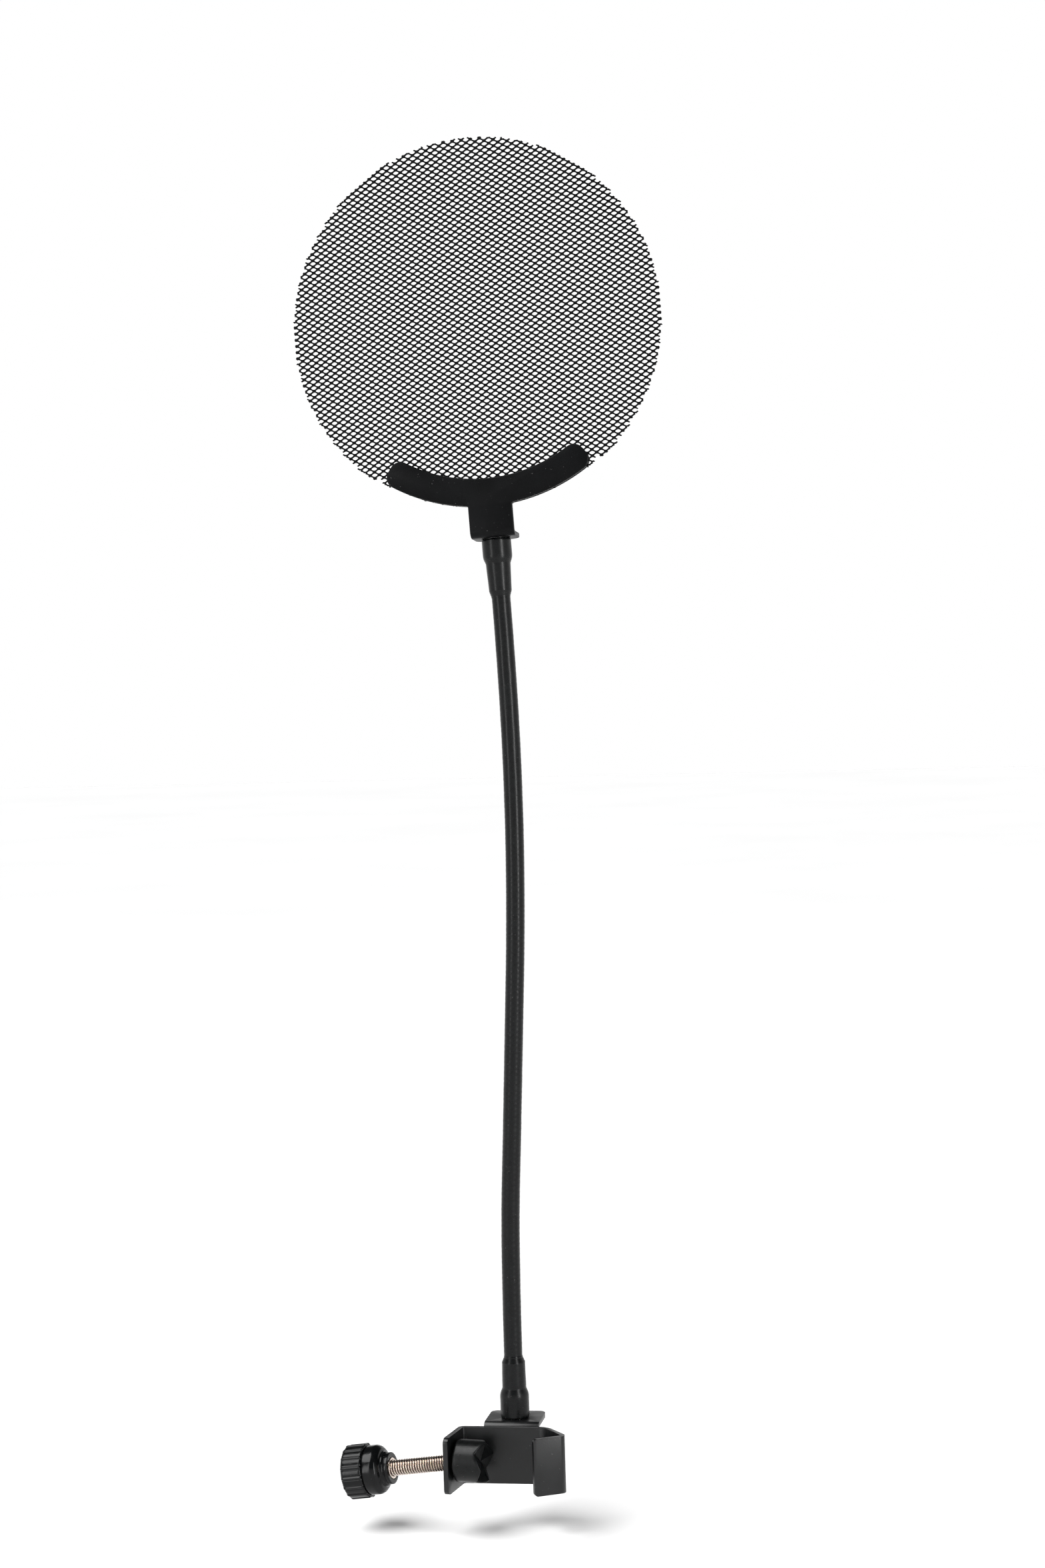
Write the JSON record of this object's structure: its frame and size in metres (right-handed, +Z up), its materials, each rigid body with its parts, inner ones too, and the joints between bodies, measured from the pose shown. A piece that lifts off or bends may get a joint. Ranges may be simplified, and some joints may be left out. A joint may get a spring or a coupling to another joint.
{
  "type": "microphone pop filter",
  "caption": "Round expanded-metal pop filter screen on a self-holding gooseneck, with a bent-steel hook clamp and knurled thumbscrew for a stand tube.",
  "frame": {"origin": "on the axis of the tube that the clamp grips, at half the clamp's height", "axes": "+Z up along the gripped tube, +X from the thumbscrew to the hook, +Y from the jaw to the gooseneck's foot; the screen's front faces -Y"},
  "size_m": [0.1524, 0.0416, 0.5579],
  "materials": {
    "powder_coat": "satin black powder coat with a fine orange-peel grain",
    "screen_coat": "black coated expanded metal",
    "neck_black": "satin black shrink jacket that shows the steel coil under it faintly",
    "spring_steel": "plain drawn spring wire",
    "shrink_sleeve": "satin black shrink tube",
    "ferrule_steel": "turned steel",
    "black_screw": "black oxide",
    "plated_screw": "yellow passivated zinc plate",
    "knob_plastic": "semi-gloss moulded black plastic",
    "pad_rubber": "matt black moulded rubber"
  },
  "bodies": {
    "clamp": {"clamp_bracket": "powder_coat", "lower_sleeve": "shrink_sleeve", "lower_ferrule": "ferrule_steel", "lower_neck_screw": "black_screw", "lower_washer": "ferrule_steel", "neck_core_0": "spring_steel", "neck_jacket_0": "neck_black"},
    "neck_link_1": {"neck_core_1": "spring_steel", "neck_jacket_1": "neck_black"},
    "neck_link_2": {"neck_core_2": "spring_steel", "neck_jacket_2": "neck_black"},
    "neck_link_3": {"neck_core_3": "spring_steel", "neck_jacket_3": "neck_black"},
    "neck_link_4": {"neck_core_4": "spring_steel", "neck_jacket_4": "neck_black"},
    "neck_link_5": {"neck_core_5": "spring_steel", "neck_jacket_5": "neck_black"},
    "neck_link_6": {"neck_core_6": "spring_steel", "neck_jacket_6": "neck_black"},
    "neck_link_7": {"neck_core_7": "spring_steel", "neck_jacket_7": "neck_black"},
    "head": {"neck_core_8": "spring_steel", "neck_jacket_8": "neck_black", "upper_sleeve": "shrink_sleeve", "upper_ferrule": "ferrule_steel", "upper_neck_screw": "black_screw", "upper_washer": "ferrule_steel", "head_bracket": "powder_coat", "rear_arc": "powder_coat", "mesh_screen": "screen_coat"},
    "screw_carrier": {"pad_retainer": "ferrule_steel"},
    "thumb_screw": {"clamp_screw": "plated_screw", "clamp_knob": "knob_plastic", "knob_insert": "plated_screw"},
    "pad": {"pressure_pad": "pad_rubber"}
  },
  "joints": [
    {"name": "neck_bend_1", "type": "hinge", "parent": "clamp", "child": "neck_link_1", "pos_m": [-0.0078, 0.02, 0.0576], "axis": [0, 1, 0], "range_deg": [-22.5, 22.5]},
    {"name": "neck_bend_2", "type": "hinge", "parent": "neck_link_1", "child": "neck_link_2", "pos_m": [-0.007, 0.0188, 0.0969], "axis": [1, 0, 0], "range_deg": [-22.5, 22.5]},
    {"name": "neck_bend_3", "type": "hinge", "parent": "neck_link_2", "child": "neck_link_3", "pos_m": [-0.0048, 0.017, 0.1361], "axis": [0, 1, 0], "range_deg": [-22.5, 22.5]},
    {"name": "neck_bend_4", "type": "hinge", "parent": "neck_link_3", "child": "neck_link_4", "pos_m": [-0.0026, 0.0154, 0.1754], "axis": [1, 0, 0], "range_deg": [-22.5, 22.5]},
    {"name": "neck_bend_5", "type": "hinge", "parent": "neck_link_4", "child": "neck_link_5", "pos_m": [-0.0006, 0.0142, 0.2146], "axis": [0, 1, 0], "range_deg": [-22.5, 22.5]},
    {"name": "neck_bend_6", "type": "hinge", "parent": "neck_link_5", "child": "neck_link_6", "pos_m": [0.0004, 0.0136, 0.2539], "axis": [1, 0, 0], "range_deg": [-22.5, 22.5]},
    {"name": "neck_bend_7", "type": "hinge", "parent": "neck_link_6", "child": "neck_link_7", "pos_m": [0.0001, 0.0139, 0.2931], "axis": [0, 1, 0], "range_deg": [-22.5, 22.5]},
    {"name": "neck_bend_8", "type": "hinge", "parent": "neck_link_7", "child": "head", "pos_m": [-0.0015, 0.0156, 0.3324], "axis": [1, 0, 0], "range_deg": [-22.5, 22.5]},
    {"name": "screw_travel", "type": "slide", "parent": "clamp", "child": "screw_carrier", "axis": [0.9766, -0.1547, 0.1495], "range_m": [-0.0012, 0.017]},
    {"name": "screw_turn", "type": "hinge", "parent": "screw_carrier", "child": "thumb_screw", "pos_m": [-0.02949, -0.00037, 0], "axis": [0.9766, -0.1547, 0.1495], "range_deg": [-360, 5400]},
    {"name": "pad_swivel", "type": "hinge", "parent": "screw_carrier", "child": "pad", "pos_m": [-0.02441, -0.00118, 0.00078], "axis": [0.9877, -0.1564, 0], "continuous": true}
  ],
  "couplings": [
    {"joint": "screw_travel", "follows": "screw_turn", "m_per_rad": 0.00017507}
  ]
}
